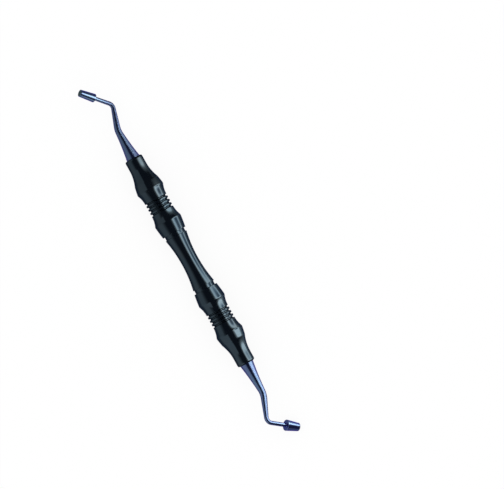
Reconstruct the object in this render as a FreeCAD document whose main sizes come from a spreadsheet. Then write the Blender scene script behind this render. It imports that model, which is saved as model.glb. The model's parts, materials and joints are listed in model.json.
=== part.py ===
import FreeCAD, Part
import math
import os
import Sketcher

# Double-ended implant plugger, in millimetres and degrees.
#
# The instrument is three pieces: a turned handle and two working ends, each turned and then bent,
# whose tangs are bonded into sockets in the handle's ends.
#
# Row frame: +X along the handle from the small end to the large end, +Z up. The origin is on the
# surface that the instrument lies on, under the handle's middle. It lies on the handle's crests
# and on the rim of the large working face.

SHEET = "size"

# Places on the handle are measured along it from its middle, and both halves are alike.
HANDLE_SIZES = {
    "half_length": 50.0,
    "waist_radius": 3.78,
    "ring_start": 12.15,
    "ring_width": 1.6,
    "ring_inner_radius": 5.05,
    "ring_outer_radius": 5.40,
    "ring_floor_radius": 4.60,
    "crest_radius": 6.19,
    "rest_centre": 27.1,
    "rest_half_width": 7.68,
    "rib_radius": 5.15,
    "notch_count": 4,
    "notch_pitch": 1.665,
    "notch_width": 0.85,
    "notch_floor_width": 0.45,
    "notch_depth": 0.7,
    "kink_place": 38.56,
    "kink_radius": 5.50,
    "collar_length": 4.14,
    "collar_radius": 4.0,
    "nose_bevel": 0.55,
    "cutter_overrun": 0.4,
}

TANG_SIZES = {
    "tang_radius": 2.0,
    "tang_length": 12.0,
    "bond_gap": 0.01,
    "socket_end_gap": 0.5,
    "drill_point_angle": 118.0,
}

SHANK_SIZES = {
    "root_radius": 3.05,
    "flare_hollow_radius": 118.0,
    "elbow_radius": 1.44,
    "wrist_radius": 0.95,
    "neck_radius": 0.86,
    "shoulder_bevel": 0.18,
    "face_bevel": 0.08,
}

# Each end bends twice, in one plane. Its elbow is measured from the handle's end face, its runs
# from corner to corner of the centreline, and its angles from the handle's axis.
SMALL_END_SIZES = {
    "small_elbow_place": 13.6,
    "small_elbow_bend_radius": 8.0,
    "small_elbow_angle": 21.5,
    "small_mid_run": 11.57,
    "small_wrist_bend_radius": 2.4,
    "small_head_angle": 49.1,
    "small_head_run": 16.33,
    "small_head_length": 7.2,
    "small_shoulder_radius": 1.885,
    "small_rim_radius": 1.55,
}

LARGE_END_SIZES = {
    "large_elbow_place": 14.87,
    "large_elbow_bend_radius": 8.0,
    "large_elbow_angle": 27.2,
    "large_mid_run": 12.49,
    "large_wrist_bend_radius": 2.4,
    "large_head_angle": 57.0,
    "large_head_run": 15.94,
    "large_head_length": 6.35,
    "large_shoulder_radius": 2.43,
    "large_rim_radius": 1.79,
}

SOCKET_RADIUS = "size.tang_radius + size.bond_gap"

X_AXIS = FreeCAD.Vector(1, 0, 0)
Y_AXIS = FreeCAD.Vector(0, 1, 0)
Z_AXIS = FreeCAD.Vector(0, 0, 1)

# How a sketch's constraints name the ends and centre of a curve, its origin and its two axes.
START, END, CENTRE = range(1, 4)
ORIGIN = (-1, START)
ALONG_AXIS, ACROSS_AXIS = range(-1, -3, -1)


def make_sheet(doc):
    """Write every driving dimension to the sheet, with its name beside it."""
    sheet = doc.addObject("Spreadsheet::Sheet", SHEET)
    groups = (HANDLE_SIZES, TANG_SIZES, SHANK_SIZES, SMALL_END_SIZES, LARGE_END_SIZES)
    rows = [item for group in groups for item in group.items()]
    for row, (alias, value) in enumerate(rows, 1):
        sheet.set(f"A{row}", alias)
        sheet.set(f"B{row}", str(value))
        sheet.setAlias(f"B{row}", alias)
    doc.recompute()
    return sheet


def value_of(owner, expression):
    """The number that an expression of sheet cells has now."""
    found = owner.evalExpression(expression)
    return float(getattr(found, "Value", found))


def origin_feature(body, role):
    """The body's own origin plane or axis with this role."""
    return next(item for item in body.Origin.OriginFeatures if item.Role == role)


def add_sketch(body, name, plane="XY_Plane", place=None, turn_axis=Z_AXIS, turned="0"):
    """A sketch on one of the body's origin planes, moved and turned there by expressions.

    place gives an expression for each of the plane's own axes along which the sketch is moved.
    """
    sketch = body.newObject("Sketcher::SketchObject", name)
    sketch.AttachmentSupport = [(origin_feature(body, plane), "")]
    sketch.MapMode = "FlatFace"
    if turned != "0":
        turn = FreeCAD.Rotation(turn_axis, value_of(sketch, turned))
        sketch.AttachmentOffset = FreeCAD.Placement(FreeCAD.Vector(), turn)
        sketch.setExpression("AttachmentOffset.Rotation.Angle", turned)
    for axis, expression in (place or {}).items():
        sketch.setExpression(f"AttachmentOffset.Base.{axis}", expression)
    return sketch


def constrain(sketch, kind, *items):
    """Add a constraint that has no size."""
    sketch.addConstraint(Sketcher.Constraint(kind, *items))


def measure(sketch, kind, *items, follows):
    """Add a dimension that follows an expression of sheet cells."""
    value = value_of(sketch, follows)
    if kind == "Angle":
        value = math.radians(value)
    index = sketch.addConstraint(Sketcher.Constraint(kind, *items, value))
    sketch.setExpression(f"Constraints[{index}]", follows)


def add_circle(sketch, radius, aside="0"):
    """A circle on the sketch's X axis, this far from its origin."""
    centre = X_AXIS * value_of(sketch, aside)
    circle = sketch.addGeometry(Part.Circle(centre, Z_AXIS, value_of(sketch, radius)), False)
    measure(sketch, "Radius", circle, follows=radius)
    if aside == "0":
        constrain(sketch, "Coincident", circle, CENTRE, *ORIGIN)
    else:
        constrain(sketch, "PointOnObject", circle, CENTRE, ALONG_AXIS)
        measure(sketch, "DistanceX", *ORIGIN, circle, CENTRE, follows=aside)


def arc_between(centre, start, end):
    """An arc under half a turn, and the names of its ends nearest to start and to end.

    A sketch's arc always runs counterclockwise, so one that is drawn the other way is swapped.
    """
    forward = (start - centre).cross(end - centre).z > 0
    points = (start, end) if forward else (end, start)
    angles = [math.atan2(point.y - centre.y, point.x - centre.x) for point in points]
    circle = Part.Circle(centre, Z_AXIS, (start - centre).Length)
    ends = (START, END) if forward else (END, START)
    return Part.ArcOfCircle(circle, *angles), ends


class Outline:
    """A closed outline above a sketch's X axis, drawn corner by corner.

    Every corner is tied to two expressions of sheet cells: its places along and across the axis.
    """

    def __init__(self, sketch, along, across):
        self.sketch = sketch
        self.first = self.corner(along, across)
        self.last = self.first
        self.sides = []

    def corner(self, along, across):
        """A corner's two expressions and the point that they give now."""
        point = FreeCAD.Vector(value_of(self.sketch, along), value_of(self.sketch, across), 0)
        return along, across, point

    def line(self, along, across):
        """A straight side to the next corner."""
        corner = self.corner(along, across)
        self.add_side(Part.LineSegment(self.last[2], corner[2]), (START, END), corner)
        return self

    def hollow(self, along, across, radius):
        """An arc of this radius to the next corner, curved towards the axis."""
        corner = self.corner(along, across)
        start, end = self.last[2], corner[2]
        chord = end - start
        reach = math.sqrt(value_of(self.sketch, radius) ** 2 - (chord.Length / 2) ** 2)
        side = self.add_arc((start + end) / 2 + Z_AXIS.cross(chord).normalize() * reach, corner)
        measure(self.sketch, "Radius", side, follows=radius)
        return self

    def arc_level_at(self, along, across, level):
        """An arc to the next corner that is level with the axis at this place along it."""
        corner = self.corner(along, across)
        start, end = self.last[2], corner[2]
        middle, chord = (start + end) / 2, end - start
        centre_along = value_of(self.sketch, level)
        centre_across = middle.y - (centre_along - middle.x) * chord.x / chord.y
        side = self.add_arc(FreeCAD.Vector(centre_along, centre_across, 0), corner)
        self.tie(side, CENTRE, along=level)
        return self

    def add_arc(self, centre, corner):
        """Add an arc about a centre, to a corner."""
        curve, ends = arc_between(centre, self.last[2], corner[2])
        return self.add_side(curve, ends, corner)

    def add_side(self, curve, ends, corner):
        """Add a side, join it to the side before it and tie its far end to its corner."""
        near, far = ends
        side = self.sketch.addGeometry(curve, False)
        if self.sides:
            constrain(self.sketch, "Coincident", *self.sides[-1], side, near)
        self.sides.append((side, far))
        self.tie(side, far, *corner[:2])
        self.last = corner
        return side

    def tie(self, side, point, along=None, across=None):
        """Tie a side's end or centre to its places along and across the axis."""
        ties = (("DistanceX", along, ACROSS_AXIS), ("DistanceY", across, ALONG_AXIS))
        for kind, expression, zero_line in ties:
            if expression == "0":
                constrain(self.sketch, "PointOnObject", side, point, zero_line)
            elif expression:
                measure(self.sketch, kind, *ORIGIN, side, point, follows=expression)

    def close(self):
        """The last straight side, back to the first corner. Returns the sketch."""
        self.line(*self.first[:2])
        constrain(self.sketch, "Coincident", *self.sides[-1], self.sides[0][0], START)
        return self.sketch


def full_turn(body, kind, sketch, name):
    """A full turn of an outline about its sketch's X axis, added to the body or cut from it."""
    feature = body.newObject(kind, name)
    feature.Profile = sketch
    feature.ReferenceAxis = (sketch, ["H_Axis"])
    feature.Angle = 360.0
    return feature


def half_handle_outline(body):
    """Half the handle: waist, ring, rising band, finger rest, falling band and collar."""
    ribs_half = "((size.notch_count - 1) * size.notch_pitch + size.notch_width) / 2"
    ribs_start = f"size.rest_centre - {ribs_half}"
    ribs_end = f"size.rest_centre + {ribs_half}"
    collar_start = "size.half_length - size.collar_length"
    outline = Outline(add_sketch(body, "half_outline"), "0", "0")
    outline.line("0", "size.waist_radius")
    outline.arc_level_at("size.ring_start", "size.ring_inner_radius", level="0")
    outline.line("size.ring_start + size.ring_width", "size.ring_outer_radius")
    outline.line("size.rest_centre - size.rest_half_width", "size.crest_radius")
    outline.arc_level_at(ribs_start, "size.rib_radius", level=ribs_start)
    outline.line(ribs_end, "size.rib_radius")
    outline.arc_level_at("size.rest_centre + size.rest_half_width", "size.crest_radius", level=ribs_end)
    outline.line("size.kink_place", "size.kink_radius")
    outline.arc_level_at(collar_start, "size.collar_radius", level=collar_start)
    outline.line("size.half_length - size.nose_bevel", "size.collar_radius")
    outline.line("size.half_length", "size.collar_radius - size.nose_bevel")
    outline.line("size.half_length", "0")
    return outline.close()


def ring_outline(body):
    """The square ring groove at the end of the waist."""
    top = "size.ring_outer_radius + size.cutter_overrun"
    ring_end = "size.ring_start + size.ring_width"
    outline = Outline(add_sketch(body, "ring_outline"), "size.ring_start", "size.ring_floor_radius")
    outline.line("size.ring_start", top)
    outline.line(ring_end, top)
    outline.line(ring_end, "size.ring_floor_radius")
    return outline.close()


def notch_outline(body):
    """The first notch of the finger rest, which narrows from its mouth to a flat floor."""
    centre = "size.rest_centre - (size.notch_count - 1) * size.notch_pitch / 2"
    floor = "size.rib_radius - size.notch_depth"
    top = "size.rib_radius + size.cutter_overrun"
    outline = Outline(add_sketch(body, "notch_outline"), f"{centre} - size.notch_width / 2", top)
    outline.line(f"{centre} + size.notch_width / 2", top)
    outline.line(f"{centre} + size.notch_width / 2", "size.rib_radius")
    outline.line(f"{centre} + size.notch_floor_width / 2", floor)
    outline.line(f"{centre} - size.notch_floor_width / 2", floor)
    outline.line(f"{centre} - size.notch_width / 2", "size.rib_radius")
    return outline.close()


def cut_notches(body):
    """The row of notches that leaves the finger rest's ribs."""
    notch = full_turn(body, "PartDesign::Groove", notch_outline(body), "notch")
    row = body.newObject("PartDesign::LinearPattern", "notches")
    row.Originals = [notch]
    row.Direction = (origin_feature(body, "X_Axis"), [""])
    row.setExpression("Occurrences", "size.notch_count")
    row.setExpression("Length", "(size.notch_count - 1) * size.notch_pitch")
    body.Tip = row
    body.Document.recompute()


def drill_socket(body):
    """The blind hole with a drill point in the handle's end, where a tang is bonded."""
    mouth = add_sketch(body, "socket_mouth", "YZ_Plane", {"z": "size.half_length"})
    add_circle(mouth, SOCKET_RADIUS)
    body.Document.recompute()
    socket = body.newObject("PartDesign::Hole", "socket")
    socket.Profile = mouth
    socket.DepthType = "Dimension"
    socket.DrillPoint = "Angled"
    socket.setExpression("Diameter", f"2 * ({SOCKET_RADIUS})")
    socket.setExpression("Depth", "size.tang_length + size.socket_end_gap")
    socket.setExpression("DrillPointAngle", "size.drill_point_angle")


def make_handle(doc):
    """The turned handle: one half of it, mirrored across the middle of the waist."""
    body = doc.addObject("PartDesign::Body", "handle")
    full_turn(body, "PartDesign::Revolution", half_handle_outline(body), "turned_half")
    full_turn(body, "PartDesign::Groove", ring_outline(body), "ring_groove")
    cut_notches(body)
    drill_socket(body)
    doc.recompute()
    halves = body.newObject("PartDesign::Mirrored", "both_halves")
    halves.TransformMode = "Whole shape"
    halves.MirrorPlane = (origin_feature(body, "YZ_Plane"), [""])
    body.Tip = halves
    return body


def place_beyond(corner, turned, along, aside="0"):
    """Expressions for the place this far along a run from its corner, and aside to its left."""
    start_along, start_across = corner
    return (
        f"{start_along} + ({along}) * cos({turned}) - ({aside}) * sin({turned})",
        f"{start_across} + ({along}) * sin({turned}) + ({aside}) * cos({turned})",
    )


def setback(bend_radius, turn):
    """How far before a corner its bend starts, and how far after it the bend ends."""
    return f"({bend_radius}) * tan(({turn}) / 2)"


def run_sketch(body, name, corner, turned):
    """A sketch whose X axis is a run's centreline and whose origin is the run's corner."""
    along, across = corner
    return add_sketch(body, name, place={"x": along, "y": across}, turned=turned)


def make_root(body, elbow_start):
    """The tang, the seat on the handle's end face, and the hollow flare up to the elbow."""
    outline = Outline(add_sketch(body, "root_outline"), "-size.tang_length", "0")
    outline.line("-size.tang_length", "size.tang_radius")
    outline.line("0", "size.tang_radius")
    outline.line("0", "size.root_radius")
    outline.hollow(elbow_start, "size.elbow_radius", "size.flare_hollow_radius")
    outline.line(elbow_start, "0")
    full_turn(body, "PartDesign::Revolution", outline.close(), "root")


def make_bend(body, name, radius, centre, turned, bend_radius, turn):
    """A bend of the round shank: its section, given part of a turn about the bend's centre.

    A bend with a positive radius turns to the left and one with a negative radius to the right.
    """
    along, across = centre
    section = add_sketch(body, f"{name}_section", "YZ_Plane", {"z": along, "x": across}, Y_AXIS, turned)
    add_circle(section, radius, aside=f"-({bend_radius})")
    bend = body.newObject("PartDesign::Revolution", name)
    bend.Profile = section
    bend.ReferenceAxis = (section, ["V_Axis"])
    bend.Reversed = value_of(body, bend_radius) < 0
    bend.setExpression("Angle", turn)


def make_middle_run(body, corner, turned, start, end):
    """The straight run between the bends, which narrows from the elbow to the wrist."""
    outline = Outline(run_sketch(body, "middle_outline", corner, turned), start, "0")
    outline.line(start, "size.elbow_radius")
    outline.line(end, "size.wrist_radius")
    outline.line(end, "0")
    full_turn(body, "PartDesign::Revolution", outline.close(), "middle_run")


def make_head(body, end, corner, neck_start):
    """The neck and the plugging head, a cone that narrows from its shoulder to its flat face."""
    cell = f"size.{end}_"
    face = f"{cell}head_run"
    back = f"{face} - {cell}head_length"
    sketch = run_sketch(body, "head_outline", corner, f"{cell}head_angle")
    outline = Outline(sketch, neck_start, "0")
    outline.line(neck_start, "size.wrist_radius")
    outline.line(back, "size.neck_radius")
    outline.line(back, f"{cell}shoulder_radius - size.shoulder_bevel")
    outline.line(f"{back} + size.shoulder_bevel", f"{cell}shoulder_radius")
    outline.line(f"{face} - size.face_bevel", f"{cell}rim_radius")
    outline.line(face, f"{cell}rim_radius - size.face_bevel")
    outline.line(face, "0")
    full_turn(body, "PartDesign::Revolution", outline.close(), "head")


def make_working_end(doc, end):
    """A working end along +X: its seat at the origin, its bends in the XY plane, its head at +Y.

    The elbow turns away from the head's side, and the wrist turns back across the axis.
    """
    body = doc.addObject("PartDesign::Body", f"{end}_working_end")
    cell = f"size.{end}_"
    elbow_turn, wrist_turn = f"{cell}elbow_angle", f"{cell}elbow_angle + {cell}head_angle"
    elbow_bend, wrist_bend = f"{cell}elbow_bend_radius", f"{cell}wrist_bend_radius"
    elbow_setback, wrist_setback = setback(elbow_bend, elbow_turn), setback(wrist_bend, wrist_turn)
    down = f"-{cell}elbow_angle"

    elbow = (f"{cell}elbow_place", "0")
    wrist = place_beyond(elbow, down, f"{cell}mid_run")
    elbow_centre = place_beyond(elbow, "0", f"-{elbow_setback}", f"-{elbow_bend}")
    wrist_centre = place_beyond(elbow, down, f"{cell}mid_run - {wrist_setback}", wrist_bend)

    make_root(body, f"{elbow[0]} - {elbow_setback}")
    make_bend(body, "elbow", "size.elbow_radius", elbow_centre, "0", f"-{elbow_bend}", elbow_turn)
    make_middle_run(body, elbow, down, elbow_setback, f"{cell}mid_run - {wrist_setback}")
    make_bend(body, "wrist", "size.wrist_radius", wrist_centre, down, wrist_bend, wrist_turn)
    make_head(body, end, wrist, wrist_setback)
    return body


def resting_roll(sheet):
    """The angle between the bends' plane and the surface that the instrument lies on.

    The handle's axis is a crest's radius above the surface, and the large head touches it with
    the rim of its working face. With the bends' plane at an angle whose sine is s, the rim's
    lowest point is at lift - offset * s - radius * sqrt(1 - (sin(head_angle) * s) ** 2) above
    the surface, which is zero at rest.
    """
    lift = sheet.crest_radius
    radius = sheet.large_rim_radius
    head_slope = math.sin(math.radians(sheet.large_head_angle))
    elbow_slope = math.sin(math.radians(sheet.large_elbow_angle))
    offset = (sheet.large_head_run - sheet.face_bevel) * head_slope - sheet.large_mid_run * elbow_slope
    square = offset ** 2 + (radius * head_slope) ** 2
    root = math.sqrt((lift * offset) ** 2 - square * (lift ** 2 - radius ** 2))
    return math.degrees(math.asin((lift * offset - root) / square))


def place_pieces(sheet, handle, small_end, large_end):
    """Lay the handle down with its outline uppermost, and seat the working ends on its end faces."""
    axis = Z_AXIS * sheet.crest_radius
    bends = FreeCAD.Placement(axis, FreeCAD.Rotation(X_AXIS, -resting_roll(sheet)))
    seat = X_AXIS * sheet.half_length
    handle.Placement = FreeCAD.Placement(axis, FreeCAD.Rotation(X_AXIS, 90))
    large_end.Placement = bends * FreeCAD.Placement(seat, FreeCAD.Rotation())
    small_end.Placement = bends * FreeCAD.Placement(-seat, FreeCAD.Rotation(Z_AXIS, 180))


def check(doc, pieces):
    """Stop if any feature failed or any piece isn't one valid solid."""
    failed = [item.Name for item in doc.Objects if {"Invalid", "Error"} & set(item.State)]
    if failed:
        raise RuntimeError(f"failed features: {failed}")
    for piece in pieces:
        if piece.Shape.isNull() or not piece.Shape.isValid() or len(piece.Shape.Solids) != 1:
            raise RuntimeError(f"{piece.Label} isn't one valid solid")


def main():
    doc = FreeCAD.newDocument("implant_plugger")
    sheet = make_sheet(doc)
    handle = make_handle(doc)
    small_end = make_working_end(doc, "small")
    large_end = make_working_end(doc, "large")
    place_pieces(sheet, handle, small_end, large_end)
    doc.recompute()
    pieces = (handle, small_end, large_end)
    check(doc, pieces)
    os.makedirs("parts", exist_ok=True)
    for piece in pieces:
        piece.Shape.exportStep(f"parts/{piece.Label}.step")


main()
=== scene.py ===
import json
import math
from collections import namedtuple

import bmesh
import bpy
from bpy.props import FloatProperty, FloatVectorProperty, IntProperty, PointerProperty
from mathutils import Matrix, Vector


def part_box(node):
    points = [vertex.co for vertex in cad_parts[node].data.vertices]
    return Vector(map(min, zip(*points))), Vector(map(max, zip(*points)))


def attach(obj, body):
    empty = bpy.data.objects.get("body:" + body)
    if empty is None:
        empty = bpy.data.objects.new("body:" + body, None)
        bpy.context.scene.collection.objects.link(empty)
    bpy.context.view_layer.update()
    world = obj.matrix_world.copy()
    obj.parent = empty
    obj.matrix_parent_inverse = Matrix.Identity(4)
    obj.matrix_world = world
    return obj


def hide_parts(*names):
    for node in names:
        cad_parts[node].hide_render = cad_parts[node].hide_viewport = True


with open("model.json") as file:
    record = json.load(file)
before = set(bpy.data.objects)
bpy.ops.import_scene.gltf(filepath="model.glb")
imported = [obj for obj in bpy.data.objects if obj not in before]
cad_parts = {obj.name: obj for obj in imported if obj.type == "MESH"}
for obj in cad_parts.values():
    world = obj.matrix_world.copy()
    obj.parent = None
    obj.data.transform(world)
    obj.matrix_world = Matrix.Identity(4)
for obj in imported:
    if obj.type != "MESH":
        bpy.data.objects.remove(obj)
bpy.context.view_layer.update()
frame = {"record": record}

bl_info = {
    "name": "Implant Plugger",
    "version": (1, 0, 0),
    "blender": (4, 5, 0),
    "location": "3D View > Sidebar > Plugger",
    "description": "Builds a double-ended implant plugger and the table that it lies on",
    "category": "Add Mesh",
}

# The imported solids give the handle's place and size, and where each working face looks.
HANDLE_LOW, HANDLE_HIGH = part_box("handle")
HALF_LENGTH = (HANDLE_HIGH.x - HANDLE_LOW.x) / 2
CREST_RADIUS = (HANDLE_HIGH.z - HANDLE_LOW.z) / 2
HANDLE_CENTRE = (HANDLE_LOW + HANDLE_HIGH) / 2
FACES = {mount["name"]: mount for mount in frame["record"]["mounts"]}

X_AXIS = Vector((1, 0, 0))
Y_AXIS = Vector((0, 1, 0))
Z_AXIS = Vector((0, 0, 1))
FULL_TURN = 2 * math.pi
WELD = 1e-7
FACING = 0.99
WHITE = (1.0, 1.0, 1.0)
BLACK = (0.0, 0.0, 0.0)

# The power that gives the panel's outline its very round corners.
CORNER_POWER = 3.0

# The pointed end of a drilled hole and the rounding of a tang's tip, as shares of their radii.
DRILL_POINT = 0.6
TANG_ROUNDING = 0.3

# The map that notes each point's place along and round a turned piece.
TURNED_MAP = "turned"

# How a part of a piece reflects. Drawn says how far its marks draw reflections out along it.
Look = namedtuple("Look", "plain varied edge_tint roughness drawn")

# Where along a working end its look changes from the shank's to the head's, in metres.
LOOK_CHANGES = (0.026, 0.036)

# The faint violet that blued steel has when it is seen from the side.
BLOOM = (0.13, 0.05, 0.8)

# The noise of a colour's slow drift and that of turning marks: stretch, scale and detail.
DRIFT_NOISE = ((1.0, 1.0, 1.0), 160.0, 3.0)
MARK_NOISE = ((1.0, 0.0002, 1.0), 6000.0, 2.0)
NOISE_SPAN = (0.3, 0.7)
MARK_DEPTH = 0.00001
MARK_POLISH = (0.85, 1.15)

# How much of the table's white is its own glow, where the camera or a reflection sees it.
TABLE_GLOW = 0.9

# Where the dome's bright part starts and is full, as shares of its radius along Y.
DOME_BRIGHT = (-0.38, -0.92)

# The sheet that stands for the table in reflections, with a glow that paints the table's shade there: its
# half size and height in metres, and its gloss.
SHEET_HALF_SIZE, SHEET_HEIGHT = 0.4, 0.0001
SHEET_ROUGHNESS, SHEET_IOR = 0.3, 1.55

# The bright panel's card, its rim and that of its dim middle, along the handle and down, in metres.
PANEL_CARD = 0.2
PANEL_CENTRE, PANEL_HALF = (0.0215, 0.020), (0.085, 0.092)
MIDDLE_CENTRE, MIDDLE_HALF = (0.013, 0.016), (0.039, 0.040)

# How the panel fades in over its rim and its middle, 1 being on them, and where it grows brighter.
PANEL_FADE, MIDDLE_FADE = (1.5, 0.9), (1.45, 0.4)
RIM_PLACES, RIM_BRIGHTNESS = (1.1, 0.85), (0.25, 1.0)
GAIN_PLACES, GAIN = (0.045, 0.085), (1.0, 1.35)
PANEL_COLOUR, MIDDLE_COLOUR = (1.0, 0.94, 0.86), (0.78, 0.88, 1.0)

# The reflector's upper edge, its rise beside the steel ends, and its end and brightness along X.
REFLECTOR_CARD = 0.3
REFLECTOR_TOP, REFLECTOR_END = (0.040, 0.018), (0.150, 0.110)
RISE_PLACES, RISE = (0.052, 0.062), (0.0, 0.065)
REFLECTOR_PLACES, REFLECTOR_BRIGHTNESS = (-0.09, 0.09), (0.8, 1.45)

SENSOR_WIDTH = 36.0
CLIP_START, CLIP_END = 0.01, 20.0


def length(name, description, millimetres):
    """A length that a user can change, shown in the scene's units."""
    return FloatProperty(
        name=name, description=description, default=millimetres / 1000,
        min=0.0, precision=5, subtype="DISTANCE", unit="LENGTH",
    )


def angle(name, description, degrees):
    """An angle that a user can change, shown in degrees."""
    return FloatProperty(
        name=name, description=description, default=math.radians(degrees),
        min=0.0, subtype="ANGLE", unit="ROTATION",
    )


def share(name, description, value):
    """A number from 0 to 1 that a user can change."""
    return FloatProperty(
        name=name, description=description, default=value, min=0.0, max=1.0, subtype="FACTOR",
    )


def count(name, description, value, least, most):
    """A whole number that a user can change."""
    return IntProperty(name=name, description=description, default=value, min=least, max=most)


def colour(name, description, value):
    """A colour that a user can change."""
    return FloatVectorProperty(
        name=name, description=description, default=value, size=3, min=0.0, max=1.0, subtype="COLOR",
    )


class PluggerHandleSizes(bpy.types.PropertyGroup):
    """The turned handle. Both halves are alike, and places are measured from its middle."""

    waist_radius: length("Waist radius", "Radius at the handle's middle", 3.78)
    ring_start: length("Ring start", "Where the ring groove starts", 12.15)
    ring_width: length("Ring width", "Width of the ring groove", 1.6)
    ring_inner_radius: length("Ring inner radius", "Radius where the waist meets the ring groove", 5.05)
    ring_outer_radius: length("Ring outer radius", "Radius where the ring groove meets the band", 5.4)
    ring_floor_radius: length("Ring floor radius", "Radius of the ring groove's floor", 4.6)
    rest_centre: length("Rest centre", "Middle of the finger rest", 27.1)
    rest_half_width: length("Rest half width", "From the middle of the finger rest to each crest", 7.68)
    rib_radius: length("Rib radius", "Radius of the finger rest's ribs", 5.15)
    notch_count: count("Notches", "Notches between the ribs", 4, 2, 8)
    notch_pitch: length("Notch pitch", "From one notch to the next", 1.665)
    notch_width: length("Notch width", "Width of a notch at its mouth", 0.85)
    notch_floor_width: length("Notch floor width", "Width of a notch's floor", 0.45)
    notch_depth: length("Notch depth", "Depth of a notch below the ribs", 0.7)
    kink_place: length("Kink place", "Where the band behind the outer crest ends", 38.56)
    kink_radius: length("Kink radius", "Radius at the end of that band", 5.5)
    collar_length: length("Collar length", "Straight stretch at the handle's end", 4.14)
    collar_radius: length("Collar radius", "Radius of that stretch", 4.0)
    nose_rounding: length("Nose rounding", "Rounding of the handle's end", 0.8)
    crest_rounding: length("Crest rounding", "Rounding of the two crests", 0.4)
    edge_rounding: length("Edge rounding", "Rounding of the grooves' edges", 0.1)
    socket_radius: length("Socket radius", "Radius of the blind hole for a tang", 2.01)
    socket_depth: length("Socket depth", "Depth of that hole", 12.5)
    band_bulge: length("Band bulge", "How far the bands swell above a straight taper", 0.05)
    turning: count("Sides", "Sides of every turned surface", 128, 16, 256)
    shading_step: length("Step", "Longest edge along a turned surface", 0.4)


class PluggerEndSizes(bpy.types.PropertyGroup):
    """What both working ends share."""

    tang_radius: length("Tang radius", "Radius of the tang inside the handle", 2.0)
    tang_length: length("Tang length", "Length of the tang", 12.0)
    root_radius: length("Root radius", "Radius where the flare meets the handle", 3.05)
    flare_hollow: length("Flare hollow", "How far the flare dips below a straight taper", 0.155)
    elbow_start_radius: length("Elbow start", "Shank radius where the first bend starts", 1.5)
    elbow_end_radius: length("Elbow end", "Shank radius where the first bend ends", 1.38)
    wrist_start_radius: length("Wrist start", "Shank radius where the second bend starts", 0.98)
    wrist_end_radius: length("Wrist end", "Shank radius where the second bend ends", 0.92)
    neck_radius: length("Neck radius", "Radius where the neck meets the head", 0.86)
    elbow_bend_radius: length("Elbow bend", "Centreline radius of the first bend", 8.0)
    wrist_bend_radius: length("Wrist bend", "Centreline radius of the second bend", 2.4)
    shoulder_rounding: length("Shoulder rounding", "Rounding of the head's shoulder", 0.2)
    face_rounding: length("Face rounding", "Rounding of the working face's rim", 0.13)
    root_rounding: length("Root rounding", "Rounding of the flare's seat", 0.06)
    turning: count("Sides", "Sides of every turned surface", 96, 16, 256)
    shading_step: length("Step", "Longest edge along a turned surface", 0.35)
    bend_steps: count("Bend steps", "Small turns in each bend", 24, 4, 64)


class PluggerSmallHeadSizes(bpy.types.PropertyGroup):
    """The small working end's own sizes."""

    elbow_place: length("Elbow place", "From the handle's end to the first corner of the centreline", 13.6)
    head_run: length("Head run", "From the second corner of the centreline to the working face", 16.33)
    head_length: length("Head length", "Length of the plugging head", 7.2)
    shoulder_radius: length("Shoulder radius", "Radius at the back of the head", 1.885)
    rim_radius: length("Rim radius", "Radius at the rim of the working face", 1.55)


class PluggerLargeHeadSizes(bpy.types.PropertyGroup):
    """The large working end's own sizes."""

    elbow_place: length("Elbow place", "From the handle's end to the first corner of the centreline", 14.87)
    head_run: length("Head run", "From the second corner of the centreline to the working face", 15.94)
    head_length: length("Head length", "Length of the plugging head", 6.35)
    shoulder_radius: length("Shoulder radius", "Radius at the back of the head", 2.43)
    rim_radius: length("Rim radius", "Radius at the rim of the working face", 1.78)


class PluggerFinish(bpy.types.PropertyGroup):
    """Colours and polish."""

    black: colour("Black", "Reflection colour of the anodised handle", (0.020, 0.032, 0.042))
    black_warm: colour(
        "Black, varied", "Reflection colour where the anodising is a little thinner", (0.024, 0.034, 0.042),
    )
    black_roughness: share("Black roughness", "Roughness of the handle", 0.13)
    steel: colour("Blued steel", "Reflection colour of the steel ends", (0.066, 0.108, 0.168))
    steel_violet: colour(
        "Blued steel, violet", "Reflection colour where the blueing is deeper", (0.068, 0.098, 0.182),
    )
    steel_roughness: share("Steel roughness", "Roughness of the steel ends", 0.3)
    head: colour("Blued head", "Reflection colour of the heads", (0.080, 0.126, 0.182))
    head_violet: colour(
        "Blued head, violet", "Reflection colour where their blueing is deeper", (0.072, 0.106, 0.210),
    )
    head_roughness: share("Head roughness", "Roughness of the heads", 0.14)
    ground: colour("Ground steel", "Reflection colour of the flat working faces", (0.12, 0.17, 0.18))


class PluggerStudio(bpy.types.PropertyGroup):
    """The table, the lights and the camera."""

    view_centre: FloatVectorProperty(
        name="View centre", description="Where on the table the camera looks",
        default=(0.00673, 0.02656), size=2, subtype="TRANSLATION", unit="LENGTH",
    )
    view_turn: angle("View turn", "Turn of the camera about the upright", 61.05)
    view_distance: length("View distance", "Height of the camera above the table", 1500.0)
    view_width: length("View width", "Width of the picture at the handle's axis", 215.0)
    dome_radius: length("Dome radius", "Radius of the dark dome over the table", 3000.0)
    dark: colour("Dark", "Colour of the dark dome", (0.06, 0.06, 0.10))
    # Painted shade: the sheet's glow sets how bright the table looks in the metal's reflections.
    table_shade_glow: share("Sheet brightness", "Brightness of the table as the metal reflects it", 0.42)
    panel_zenith: angle("Panel zenith", "How far from straight up the bright panel stands", 62.0)
    panel_distance: length("Panel distance", "From the handle to the bright panel", 140.0)
    panel_strength: FloatProperty(
        name="Panel strength", description="Brightness of the panel's edges", default=9.5, min=0.0,
    )
    panel_middle: share("Panel middle", "Brightness of the panel's middle, as a share of its edges'", 0.17)
    reflector_zenith: angle("Reflector zenith", "How far from straight up the reflector stands", 78.0)
    reflector_distance: length("Reflector distance", "From the handle to the reflector", 60.0)
    table_size: length("Table size", "Half the width of the table", 4000.0)


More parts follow.
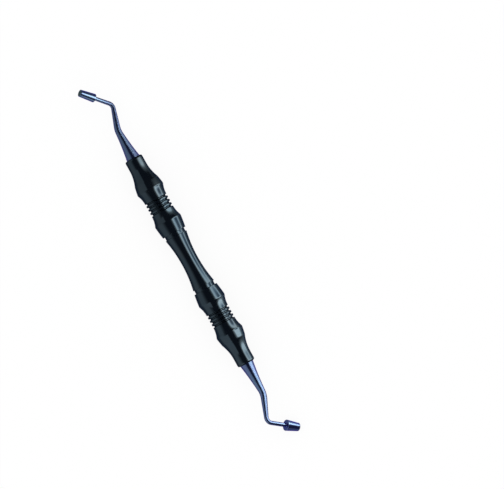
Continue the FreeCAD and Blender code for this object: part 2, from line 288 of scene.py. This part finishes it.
class Outline:
    """The outline of a turned piece in the XZ plane, drawn corner by corner with mesh operators."""

    def __init__(self, along, across=0.0):
        self.mesh = bmesh.new()
        start = (along, 0, across)
        self.tip = bmesh.ops.create_vert(self.mesh, co=start)["vert"][0]
        self.corners = []

    def line(self, along, across):
        """A straight side to the next corner."""
        added = bmesh.ops.extrude_vert_indiv(self.mesh, verts=[self.tip])["verts"][0]
        added.co = (along, 0, across)
        self.tip = added
        return self

    def arc(self, along, across, height, step):
        """An arc to the next corner, as high above its chord as given, or below it if negative."""
        start, end = self.tip.co.copy(), Vector((along, 0, across))
        chord = end - start
        radius = (chord.length / 2) ** 2 / (2 * abs(height)) + abs(height) / 2
        above = Vector((-chord.z, 0, chord.x)).normalized()
        if above.z < 0:
            above.negate()
        centre = (start + end) / 2 + above * math.copysign(radius - abs(height), -height)
        turn = 2 * math.asin(chord.length / 2 / radius)
        clockwise = (start - centre).cross(end - centre).y > 0
        steps = max(2, math.ceil(radius * turn / step))
        spun = bmesh.ops.spin(
            self.mesh, geom=[self.tip], cent=centre, axis=Y_AXIS if clockwise else -Y_AXIS,
            angle=turn, steps=steps, use_merge=False, use_duplicate=False,
        )
        self.tip = next(item for item in spun["geom_last"] if isinstance(item, bmesh.types.BMVert))
        return self

    def round(self, rounding, segments=3):
        """Note that the corner drawn last is rounded."""
        self.corners.append((self.tip, rounding, segments))
        return self

    def finish(self, step):
        """Round the noted corners and divide the long sides."""
        for corner, rounding, segments in self.corners:
            bmesh.ops.bevel(
                self.mesh, geom=[corner], offset=rounding, offset_type="OFFSET",
                segments=segments, profile=0.5, affect="VERTICES", material=-1,
            )
        for edge in [edge for edge in self.mesh.edges if edge.calc_length() > step]:
            cuts = math.ceil(edge.calc_length() / step) - 1
            bmesh.ops.subdivide_edges(self.mesh, edges=[edge], cuts=cuts)
        return self.mesh


def level_arc_height(along, across):
    """Height of an arc above its chord, where one of its ends is level with the handle's axis."""
    return math.hypot(along, across) / 2 * math.tan(math.atan2(abs(across), abs(along)) / 2)


def turn_solid(mesh, sides):
    """Turn an outline about the X axis into a closed solid whose faces point outwards."""
    geometry = list(mesh.verts) + list(mesh.edges)
    bmesh.ops.spin(
        mesh, geom=geometry, cent=(0, 0, 0), axis=X_AXIS, angle=FULL_TURN,
        steps=sides, use_merge=True, use_duplicate=False,
    )
    bmesh.ops.remove_doubles(mesh, verts=list(mesh.verts), dist=WELD)
    bmesh.ops.dissolve_degenerate(mesh, edges=list(mesh.edges), dist=WELD)
    bmesh.ops.recalc_face_normals(mesh, faces=list(mesh.faces))


def unwrap(mesh):
    """Note each point's place along and round the turned solid, which its marks follow."""
    layer = mesh.loops.layers.uv.new(TURNED_MAP)
    for face in mesh.faces:
        middle = face.calc_center_median()
        facing = math.atan2(middle.z, middle.y)
        for loop in face.loops:
            place = loop.vert.co
            around = math.remainder(math.atan2(place.z, place.y) - facing, FULL_TURN) + facing
            loop[layer].uv = (place.x, around)


def add_object(mesh, name, finishes):
    """Put a mesh into the scene as an object of its own."""
    data = bpy.data.meshes.new(name)
    mesh.to_mesh(data)
    mesh.free()
    for finish in finishes:
        data.materials.append(finish)
    added = bpy.data.objects.new(name, data)
    bpy.context.scene.collection.objects.link(added)
    return added


def make_piece(mesh, name, finishes, node):
    """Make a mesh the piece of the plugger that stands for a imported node."""
    piece = add_object(mesh, name, finishes)
    piece.data.shade_smooth()
    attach(piece, "root")
    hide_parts(node)


def draw_ribs(outline, sizes):
    """The ribs of a finger rest, from the first notch's near mouth to the last one's far mouth."""
    floor = sizes.rib_radius - sizes.notch_depth
    mouth, bottom = sizes.notch_width / 2, sizes.notch_floor_width / 2
    soft = sizes.edge_rounding
    for number in range(sizes.notch_count):
        centre = sizes.rest_centre + (number - (sizes.notch_count - 1) / 2) * sizes.notch_pitch
        if number:
            outline.line(centre - mouth, sizes.rib_radius)
        outline.round(soft)
        outline.line(centre - bottom, floor).round(2 * soft, segments=4)
        outline.line(centre + bottom, floor).round(2 * soft, segments=4)
        outline.line(centre + mouth, sizes.rib_radius).round(soft)


def draw_half_handle(sizes):
    """Half the handle: waist, ring groove, band, finger rest, band, collar, nose and socket."""
    soft, step = sizes.edge_rounding, sizes.shading_step
    ring_end = sizes.ring_start + sizes.ring_width
    inner_crest = sizes.rest_centre - sizes.rest_half_width
    outer_crest = sizes.rest_centre + sizes.rest_half_width
    ribs_half = ((sizes.notch_count - 1) * sizes.notch_pitch + sizes.notch_width) / 2
    rest_hollow = level_arc_height(sizes.rest_half_width - ribs_half, CREST_RADIUS - sizes.rib_radius)
    waist_hollow = level_arc_height(sizes.ring_start, sizes.ring_inner_radius - sizes.waist_radius)
    collar_start = HALF_LENGTH - sizes.collar_length
    collar_hollow = level_arc_height(collar_start - sizes.kink_place, sizes.kink_radius - sizes.collar_radius)
    drill_tip = HALF_LENGTH - sizes.socket_depth - DRILL_POINT * sizes.socket_radius

    outline = Outline(0.0, sizes.waist_radius)
    outline.arc(sizes.ring_start, sizes.ring_inner_radius, -waist_hollow, step).round(soft)
    outline.line(sizes.ring_start, sizes.ring_floor_radius).round(soft)
    outline.line(ring_end, sizes.ring_floor_radius).round(soft)
    outline.line(ring_end, sizes.ring_outer_radius).round(soft)
    outline.arc(inner_crest, CREST_RADIUS, sizes.band_bulge, step).round(sizes.crest_rounding, segments=4)
    outline.arc(sizes.rest_centre - ribs_half, sizes.rib_radius, -rest_hollow, step)
    draw_ribs(outline, sizes)
    outline.arc(outer_crest, CREST_RADIUS, -rest_hollow, step).round(sizes.crest_rounding, segments=4)
    outline.arc(sizes.kink_place, sizes.kink_radius, sizes.band_bulge / 2, step)
    outline.arc(collar_start, sizes.collar_radius, -collar_hollow, step)
    outline.line(HALF_LENGTH, sizes.collar_radius).round(sizes.nose_rounding, segments=8)
    outline.line(HALF_LENGTH, sizes.socket_radius).round(soft, segments=2)
    outline.line(HALF_LENGTH - sizes.socket_depth, sizes.socket_radius)
    outline.line(drill_tip, 0.0)
    return outline.finish(step)


class PLUGGER_OT_handle(bpy.types.Operator):
    """Build the turned black handle"""

    bl_idname = "plugger.handle"
    bl_label = "Handle"

    def execute(self, context):
        sizes = context.scene.plugger_handle
        mesh = draw_half_handle(sizes)
        geometry = list(mesh.verts) + list(mesh.edges)
        bmesh.ops.mirror(mesh, geom=geometry, axis="X", merge_dist=WELD)
        turn_solid(mesh, sizes.turning)
        unwrap(mesh)
        bmesh.ops.translate(mesh, verts=mesh.verts, vec=HANDLE_CENTRE)
        finish = black_finish(context.scene.plugger_finish)
        make_piece(mesh, "turned_handle", [finish], "handle")
        return {"FINISHED"}


class Bends:
    """Where an end's two bends lie along its straightened centreline, worked out from its mount."""

    def __init__(self, shared, own, side, mount):
        position, outward = Vector(mount["pos_m"]), Vector(mount["axis"])
        self.seat = Vector((side * HALF_LENGTH, 0, HANDLE_CENTRE.z))
        along, across = X_AXIS * side, Vector((0, outward.y, outward.z)).normalized()
        self.turned = Matrix((along, across, along.cross(across))).transposed()
        face = self.turned.transposed() @ (position - self.seat)
        self.head_angle = math.acos(side * outward.x)
        head_way = Vector((math.cos(self.head_angle), math.sin(self.head_angle), 0))
        wrist = face - head_way * own.head_run
        middle = wrist - X_AXIS * own.elbow_place
        self.elbow_angle = -math.atan2(middle.y, middle.x)
        elbow_setback = shared.elbow_bend_radius * math.tan(self.elbow_angle / 2)
        wrist_turn = self.elbow_angle + self.head_angle
        wrist_setback = shared.wrist_bend_radius * math.tan(wrist_turn / 2)
        self.elbow_start = own.elbow_place - elbow_setback
        self.elbow_end = self.elbow_start + shared.elbow_bend_radius * self.elbow_angle
        self.wrist_start = self.elbow_end + middle.length - elbow_setback - wrist_setback
        self.wrist_end = self.wrist_start + shared.wrist_bend_radius * wrist_turn
        self.face = self.wrist_end + own.head_run - wrist_setback
        self.turns = (
            (self.elbow_start, self.elbow_end, -self.elbow_angle),
            (self.wrist_start, self.wrist_end, wrist_turn),
        )


def draw_end(shared, own, bends):
    """A working end before it is bent: tang, seat, flare, shank, neck and head."""
    step = shared.shading_step
    back = bends.face - own.head_length
    outline = Outline(-shared.tang_length)
    outline.line(-shared.tang_length, shared.tang_radius).round(TANG_ROUNDING * shared.tang_radius)
    outline.line(0.0, shared.tang_radius)
    outline.line(0.0, shared.root_radius).round(shared.root_rounding)
    outline.arc(bends.elbow_start, shared.elbow_start_radius, -shared.flare_hollow, step)
    outline.line(bends.elbow_end, shared.elbow_end_radius)
    outline.line(bends.wrist_start, shared.wrist_start_radius)
    outline.line(bends.wrist_end, shared.wrist_end_radius)
    outline.line(back, shared.neck_radius).round(shared.face_rounding)
    outline.line(back, own.shoulder_radius).round(shared.shoulder_rounding, segments=4)
    outline.line(bends.face, own.rim_radius).round(shared.face_rounding)
    outline.line(bends.face, 0.0)
    return outline.finish(step)


def bend_end(mesh, bends, steps):
    """Bend a straight end twice, in small turns about points of its centreline."""
    places = [(vert.co.x, vert) for vert in mesh.verts]
    point, heading, reached = Vector(), X_AXIS.copy(), 0.0
    for start, end, turn in bends.turns:
        small_turn = Matrix.Rotation(turn / steps, 3, "Z")
        small_step = (end - start) / steps
        point += heading * (start - reached + small_step / 2)
        reached = start + small_step / 2
        for _ in range(steps):
            beyond = [vert for place, vert in places if place > reached]
            bmesh.ops.rotate(mesh, verts=beyond, cent=point, matrix=small_turn)
            heading = small_turn @ heading
            point += heading * small_step
            reached += small_step


def build_end(context, name, node, own, side, mount):
    """Turn a working end, bend it and seat it on the handle's end."""
    shared = context.scene.plugger_ends
    bends = Bends(shared, own, side, mount)
    mesh = draw_end(shared, own, bends)
    turn_solid(mesh, shared.turning)
    unwrap(mesh)
    for face in mesh.faces:
        at_tip = face.calc_center_median().x > bends.face - WELD
        face.material_index = int(at_tip and face.normal.x > FACING)
    bend_end(mesh, bends, shared.bend_steps)
    bmesh.ops.rotate(mesh, verts=mesh.verts, cent=(0, 0, 0), matrix=bends.turned)
    bmesh.ops.translate(mesh, verts=mesh.verts, vec=bends.seat)
    finish = context.scene.plugger_finish
    make_piece(mesh, name, [steel_finish(finish), ground_finish(finish)], node)


class PLUGGER_OT_small_end(bpy.types.Operator):
    """Build the working end with the small head"""

    bl_idname = "plugger.small_end"
    bl_label = "Small working end"

    def execute(self, context):
        own = context.scene.plugger_small_head
        build_end(context, "small_plugger", "small_working_end", own, -1, FACES["small_working_face"])
        return {"FINISHED"}


class PLUGGER_OT_large_end(bpy.types.Operator):
    """Build the working end with the large head"""

    bl_idname = "plugger.large_end"
    bl_label = "Large working end"

    def execute(self, context):
        own = context.scene.plugger_large_head
        build_end(context, "large_plugger", "large_working_end", own, 1, FACES["large_working_face"])
        return {"FINISHED"}


class Nodes:
    """A material's or world's nodes, added and joined one after another."""

    def __init__(self, owner):
        owner.use_nodes = True
        self.tree = owner.node_tree
        self.tree.nodes.clear()
        self.is_world = isinstance(owner, bpy.types.World)

    def add(self, kind, **settings):
        """Add a node of this kind, with its own settings."""
        node = self.tree.nodes.new(kind)
        for name, value in settings.items():
            setattr(node, name, value)
        return node

    def join(self, source, target):
        """Join an output to an input, or set the input to a plain number or colour."""
        if isinstance(source, bpy.types.NodeSocket):
            self.tree.links.new(source, target)
        else:
            target.default_value = source if isinstance(source, (int, float)) else (*source, 1.0)

    def finish(self, surface):
        """Join the finished shader to the output."""
        output = self.add("ShaderNodeOutputWorld" if self.is_world else "ShaderNodeOutputMaterial")
        self.join(surface, output.inputs["Surface"])

    def axes(self, space):
        """The three coordinates of a point, one by one."""
        places = self.add("ShaderNodeTexCoord")
        split = self.add("ShaderNodeSeparateXYZ")
        self.join(places.outputs[space], split.inputs[0])
        return split.outputs

    def math(self, operation, first, second=0.0):
        """A sum, product or the like of two numbers."""
        node = self.add("ShaderNodeMath", operation=operation)
        self.join(first, node.inputs[0])
        self.join(second, node.inputs[1])
        return node.outputs[0]

    def spread(self, value, start, end, low=0.0, high=1.0, smooth=False):
        """A number that runs from low to high as the value goes from start to end."""
        node = self.add("ShaderNodeMapRange", interpolation_type="SMOOTHSTEP" if smooth else "LINEAR")
        settings = {"Value": value, "From Min": start, "From Max": end, "To Min": low, "To Max": high}
        for name, setting in settings.items():
            self.join(setting, node.inputs[name])
        return node.outputs[0]

    def fade(self, value, start, end):
        """A number that rises softly from 0 to 1 as the value goes from start to end."""
        return self.spread(value, start, end, smooth=True)

    def reach(self, axes, centre, half):
        """How far out a point is: 1 on the rim of a rectangle with very round corners."""
        total = 0.0
        for axis, middle, extent in zip(("X", "Y"), centre, half):
            offset = self.math("DIVIDE", self.math("SUBTRACT", axes[axis], middle), extent)
            total = self.math("ADD", self.math("POWER", self.math("ABSOLUTE", offset), CORNER_POWER), total)
        return self.math("POWER", total, 1 / CORNER_POWER)

    def between(self, factor, first, second):
        """A number between two others, or just the number if they are the same."""
        return first if first == second else self.spread(factor, 0.0, 1.0, first, second)

    def blend(self, factor, first, second):
        """A colour between two others, or just the colour if they are the same."""
        if first == second:
            return first
        mix = self.add("ShaderNodeMix", data_type="RGBA")
        self.join(factor, mix.inputs[0])
        self.join(first, mix.inputs[6])
        self.join(second, mix.inputs[7])
        return mix.outputs[2]

    def emission(self, colour, strength):
        """Light of one colour and strength."""
        glow = self.add("ShaderNodeEmission")
        self.join(colour, glow.inputs["Color"])
        self.join(strength, glow.inputs["Strength"])
        return glow.outputs[0]

    def layer(self, factor, under, over):
        """A surface between two others."""
        mix = self.add("ShaderNodeMixShader")
        self.join(factor, mix.inputs[0])
        self.join(under, mix.inputs[1])
        self.join(over, mix.inputs[2])
        return mix.outputs[0]

    def see_through(self, presence, surface):
        """A surface that lets what is behind it through where its presence is less than one."""
        clear = self.add("ShaderNodeBsdfTransparent")
        return self.layer(presence, clear.outputs[0], surface)

    def noise(self, space, stretch, scale, detail):
        """Noise on one of the piece's own coordinates, drawn out along some of them."""
        places = self.add("ShaderNodeTexCoord")
        mapping = self.add("ShaderNodeMapping")
        mapping.inputs["Scale"].default_value = stretch
        noise = self.add("ShaderNodeTexNoise")
        noise.inputs["Scale"].default_value = scale
        noise.inputs["Detail"].default_value = detail
        self.join(places.outputs[space], mapping.inputs["Vector"])
        self.join(mapping.outputs["Vector"], noise.inputs["Vector"])
        return noise.outputs["Fac"]


def metal_finish(name, near, far, metallic, marks, bloom=0.0):
    """A metal with fine marks round it, whose look may change from the handle to the head."""
    if name in bpy.data.materials:
        return bpy.data.materials[name]
    material = bpy.data.materials.new(name)
    nodes = Nodes(material)
    cloud = nodes.spread(nodes.noise("Object", *DRIFT_NOISE), *NOISE_SPAN)
    turning = nodes.noise("UV", *MARK_NOISE)
    outward = nodes.fade(nodes.axes("UV")["X"], *LOOK_CHANGES)
    plain = nodes.blend(outward, near.plain, far.plain)
    varied = nodes.blend(outward, near.varied, far.varied)
    roughness = nodes.between(outward, near.roughness, far.roughness)
    bump = nodes.add("ShaderNodeBump")
    nodes.join(marks, bump.inputs["Strength"])
    nodes.join(MARK_DEPTH, bump.inputs["Distance"])
    nodes.join(turning, bump.inputs["Height"])
    way = nodes.add("ShaderNodeTangent", direction_type="UV_MAP", uv_map=TURNED_MAP)
    values = {
        "Base Color": nodes.blend(cloud, plain, varied),
        "Specular Tint": nodes.blend(outward, near.edge_tint, far.edge_tint),
        "Metallic": metallic,
        "Roughness": nodes.math("MULTIPLY", nodes.spread(turning, *NOISE_SPAN, *MARK_POLISH), roughness),
        "Anisotropic": nodes.between(outward, near.drawn, far.drawn),
        "Sheen Weight": bloom,
        "Sheen Tint": BLOOM,
        "Tangent": way.outputs[0],
        "Normal": bump.outputs[0],
    }
    shader = nodes.add("ShaderNodeBsdfPrincipled")
    for socket, value in values.items():
        nodes.join(value, shader.inputs[socket])
    nodes.finish(shader.outputs["BSDF"])
    return material


def black_finish(finish):
    """Polished black anodising, with fine turning marks."""
    black = Look(
        plain=finish.black, varied=finish.black_warm, edge_tint=(0.35, 0.38, 0.5),
        roughness=finish.black_roughness, drawn=0.0,
    )
    return metal_finish("black_anodising", black, black, metallic=0.92, marks=0.02)


def steel_finish(finish):
    """Blued steel that draws reflections out along it, and brightens along the neck to the head."""
    shank = Look(
        plain=finish.steel, varied=finish.steel_violet, edge_tint=(0.55, 0.42, 1.0),
        roughness=finish.steel_roughness, drawn=0.95,
    )
    head = Look(
        plain=finish.head, varied=finish.head_violet, edge_tint=(0.25, 0.12, 1.0),
        roughness=finish.head_roughness, drawn=0.3,
    )
    return metal_finish("blued_steel_polish", shank, head, metallic=1.0, marks=0.003, bloom=0.4)


def ground_finish(finish):
    """The flat working faces, ground dull after the blueing."""
    ground = Look(
        plain=finish.ground, varied=finish.ground, edge_tint=(0.15, 0.18, 0.2),
        roughness=0.4, drawn=0.0,
    )
    return metal_finish("ground_steel", ground, ground, metallic=1.0, marks=0.05)


def table_finish():
    """A white table that glows enough to stay white where it is seen, and keeps the shadow."""
    material = bpy.data.materials.new("white_table")
    nodes = Nodes(material)
    rays = nodes.add("ShaderNodeLightPath").outputs
    seen = nodes.math("MAXIMUM", rays["Is Camera Ray"], rays["Is Glossy Ray"])
    seen = nodes.math("MAXIMUM", seen, rays["Is Transmission Ray"])
    diffuse = nodes.add("ShaderNodeBsdfDiffuse")
    nodes.join(WHITE, diffuse.inputs["Color"])
    share_of_glow = nodes.math("MULTIPLY", seen, TABLE_GLOW)
    nodes.finish(nodes.layer(share_of_glow, diffuse.outputs["BSDF"], nodes.emission(WHITE, 1.0)))
    return material


def dome_finish(studio):
    """Dark cloth all round, but for a bright part towards -Y."""
    material = bpy.data.materials.new("dark_dome")
    nodes = Nodes(material)
    start, full = (share_of_radius * studio.dome_radius for share_of_radius in DOME_BRIGHT)
    brightness = nodes.fade(nodes.axes("Object")["Y"], start, full)
    nodes.finish(nodes.emission(nodes.blend(brightness, studio.dark, WHITE), 1.0))
    return material


def sheet_finish(studio):
    """A sheet, black under a soft gloss, whose glow paints the table's shade into reflections."""
    material = bpy.data.materials.new("glossy_sheet")
    nodes = Nodes(material)
    shader = nodes.add("ShaderNodeBsdfPrincipled")
    # The glow is painted shade: it makes the table look darker in reflections than the white table itself.
    values = {
        "Base Color": BLACK, "Roughness": SHEET_ROUGHNESS, "IOR": SHEET_IOR,
        "Emission Color": WHITE, "Emission Strength": studio.table_shade_glow,
    }
    for socket, value in values.items():
        nodes.join(value, shader.inputs[socket])
    nodes.finish(shader.outputs["BSDF"])
    return material


def panel_finish(studio):
    """A bright panel with soft edges and a dim middle, brightest towards the large end."""
    material = bpy.data.materials.new("bright_panel")
    nodes = Nodes(material)
    axes = nodes.axes("Object")
    reach = nodes.reach(axes, PANEL_CENTRE, PANEL_HALF)
    rim = nodes.spread(reach, *RIM_PLACES, *RIM_BRIGHTNESS, smooth=True)
    middle = nodes.fade(nodes.reach(axes, MIDDLE_CENTRE, MIDDLE_HALF), *MIDDLE_FADE)
    gain = nodes.spread(axes["X"], *GAIN_PLACES, *GAIN, smooth=True)
    hollow = nodes.spread(middle, 0.0, 1.0, 1.0, studio.panel_middle)
    strength = nodes.math("MULTIPLY", nodes.math("MULTIPLY", rim, gain), hollow)
    strength = nodes.math("MULTIPLY", strength, studio.panel_strength)
    light = nodes.emission(nodes.blend(middle, PANEL_COLOUR, MIDDLE_COLOUR), strength)
    nodes.finish(nodes.see_through(nodes.fade(reach, *PANEL_FADE), light))
    return material


def reflector_finish():
    """A white reflector, higher beside the steel ends and brighter towards the large one."""
    material = bpy.data.materials.new("reflector")
    nodes = Nodes(material)
    axes = nodes.axes("Object")
    rise = nodes.spread(nodes.math("ABSOLUTE", axes["X"]), *RISE_PLACES, *RISE)
    top = nodes.fade(nodes.math("SUBTRACT", axes["Y"], rise), *REFLECTOR_TOP)
    inside = nodes.math("MULTIPLY", top, nodes.fade(axes["X"], *REFLECTOR_END))
    light = nodes.emission(WHITE, nodes.spread(axes["X"], *REFLECTOR_PLACES, *REFLECTOR_BRIGHTNESS))
    nodes.finish(nodes.see_through(inside, light))
    return material


def stage_object(name, mesh, finish):
    """Make a mesh part of the studio."""
    staged = add_object(mesh, name, [finish])
    return staged


def only_mirrored(staged):
    """Let a part of the studio show only in reflections, so that it casts no light or shadow."""
    staged.visible_camera = False
    staged.visible_diffuse = False
    staged.visible_shadow = False


def draw_square(half_size, height=0.0):
    """A level square about the Z axis."""
    mesh = bmesh.new()
    lift = Matrix.Translation((0, 0, height))
    bmesh.ops.create_grid(mesh, x_segments=1, y_segments=1, size=half_size, matrix=lift)
    return mesh


def add_table(studio):
    """The white table that the plugger lies on."""
    stage_object("table", draw_square(studio.table_size), table_finish())


def add_dome(studio):
    """A dark dome over the table."""
    mesh = bmesh.new()
    bmesh.ops.create_uvsphere(mesh, u_segments=64, v_segments=32, radius=studio.dome_radius)
    only_mirrored(stage_object("dark_dome", mesh, dome_finish(studio)))


def add_sheet(studio):
    """A glowing sheet, hardly above the table, that stands for it in the metal's reflections as painted
    shade.
    """
    mesh = draw_square(SHEET_HALF_SIZE, SHEET_HEIGHT)
    only_mirrored(stage_object("table_shade_sheet", mesh, sheet_finish(studio)))


def add_card(name, zenith, distance, finish, half_size):
    """A card that faces the handle's axis, at an angle from straight up towards +Y."""
    card = stage_object(name, draw_square(half_size), finish)
    turned = Matrix.Rotation(-zenith, 4, "X")
    centre = Vector((0, 0, HANDLE_CENTRE.z)) + (turned @ Z_AXIS) * distance
    card.matrix_world = Matrix.Translation(centre) @ turned
    only_mirrored(card)


def add_world(scene):
    """An even white surrounding, which lights everything. The dome keeps it out of reflections."""
    world = bpy.data.worlds.new("white_room")
    nodes = Nodes(world)
    room = nodes.add("ShaderNodeBackground")
    nodes.join(WHITE, room.inputs["Color"])
    nodes.finish(room.outputs["Background"])
    scene.world = world


def add_camera(scene, studio):
    """A camera that looks straight down on the plugger."""
    camera = bpy.data.cameras.new("camera")
    camera.sensor_width = SENSOR_WIDTH
    camera.lens = SENSOR_WIDTH * (studio.view_distance - HANDLE_CENTRE.z) / studio.view_width
    camera.clip_start, camera.clip_end = CLIP_START, CLIP_END
    holder = bpy.data.objects.new("camera", camera)
    holder.location = (*studio.view_centre, studio.view_distance)
    holder.rotation_euler = (0.0, 0.0, studio.view_turn)
    scene.collection.objects.link(holder)
    scene.camera = holder


class PLUGGER_OT_studio(bpy.types.Operator):
    """Set up the white table, the lights and the camera"""

    bl_idname = "plugger.studio"
    bl_label = "Table, lights and camera"

    def execute(self, context):
        scene = context.scene
        studio = scene.plugger_studio
        add_table(studio)
        add_dome(studio)
        add_sheet(studio)
        panel, reflector = panel_finish(studio), reflector_finish()
        add_card("bright_panel", studio.panel_zenith, studio.panel_distance, panel, PANEL_CARD)
        add_card("reflector", -studio.reflector_zenith, studio.reflector_distance, reflector, REFLECTOR_CARD)
        add_world(scene)
        add_camera(scene, studio)
        scene.view_settings.view_transform = "Standard"
        return {"FINISHED"}


class PLUGGER_PT_sidebar(bpy.types.Panel):
    """The plugger's pieces and their sizes"""

    bl_idname = "PLUGGER_PT_sidebar"
    bl_label = "Implant Plugger"
    bl_space_type = "VIEW_3D"
    bl_region_type = "UI"
    bl_category = "Plugger"

    def draw(self, context):
        layout = self.layout
        for operator in OPERATORS:
            layout.operator(operator.bl_idname)
        for group in GROUPS:
            box = layout.box()
            settings = getattr(context.scene, group)
            for name in settings.bl_rna.properties.keys():
                if name not in ("rna_type", "name"):
                    box.prop(settings, name)


OPERATORS = (PLUGGER_OT_handle, PLUGGER_OT_small_end, PLUGGER_OT_large_end, PLUGGER_OT_studio)
GROUPS = {
    "plugger_handle": PluggerHandleSizes,
    "plugger_ends": PluggerEndSizes,
    "plugger_small_head": PluggerSmallHeadSizes,
    "plugger_large_head": PluggerLargeHeadSizes,
    "plugger_finish": PluggerFinish,
    "plugger_studio": PluggerStudio,
}
CLASSES = (*GROUPS.values(), *OPERATORS, PLUGGER_PT_sidebar)


def register():
    """Add the classes, and their settings to every scene."""
    for kind in CLASSES:
        bpy.utils.register_class(kind)
    for name, kind in GROUPS.items():
        setattr(bpy.types.Scene, name, PointerProperty(type=kind))


def unregister():
    """Take the settings and the classes away again."""
    for name in reversed(GROUPS):
        delattr(bpy.types.Scene, name)
    for kind in reversed(CLASSES):
        bpy.utils.unregister_class(kind)


def main():
    """Build the plugger and its studio."""
    register()
    bpy.ops.plugger.handle()
    bpy.ops.plugger.small_end()
    bpy.ops.plugger.large_end()
    bpy.ops.plugger.studio()


if __name__ == "__main__":
    main()
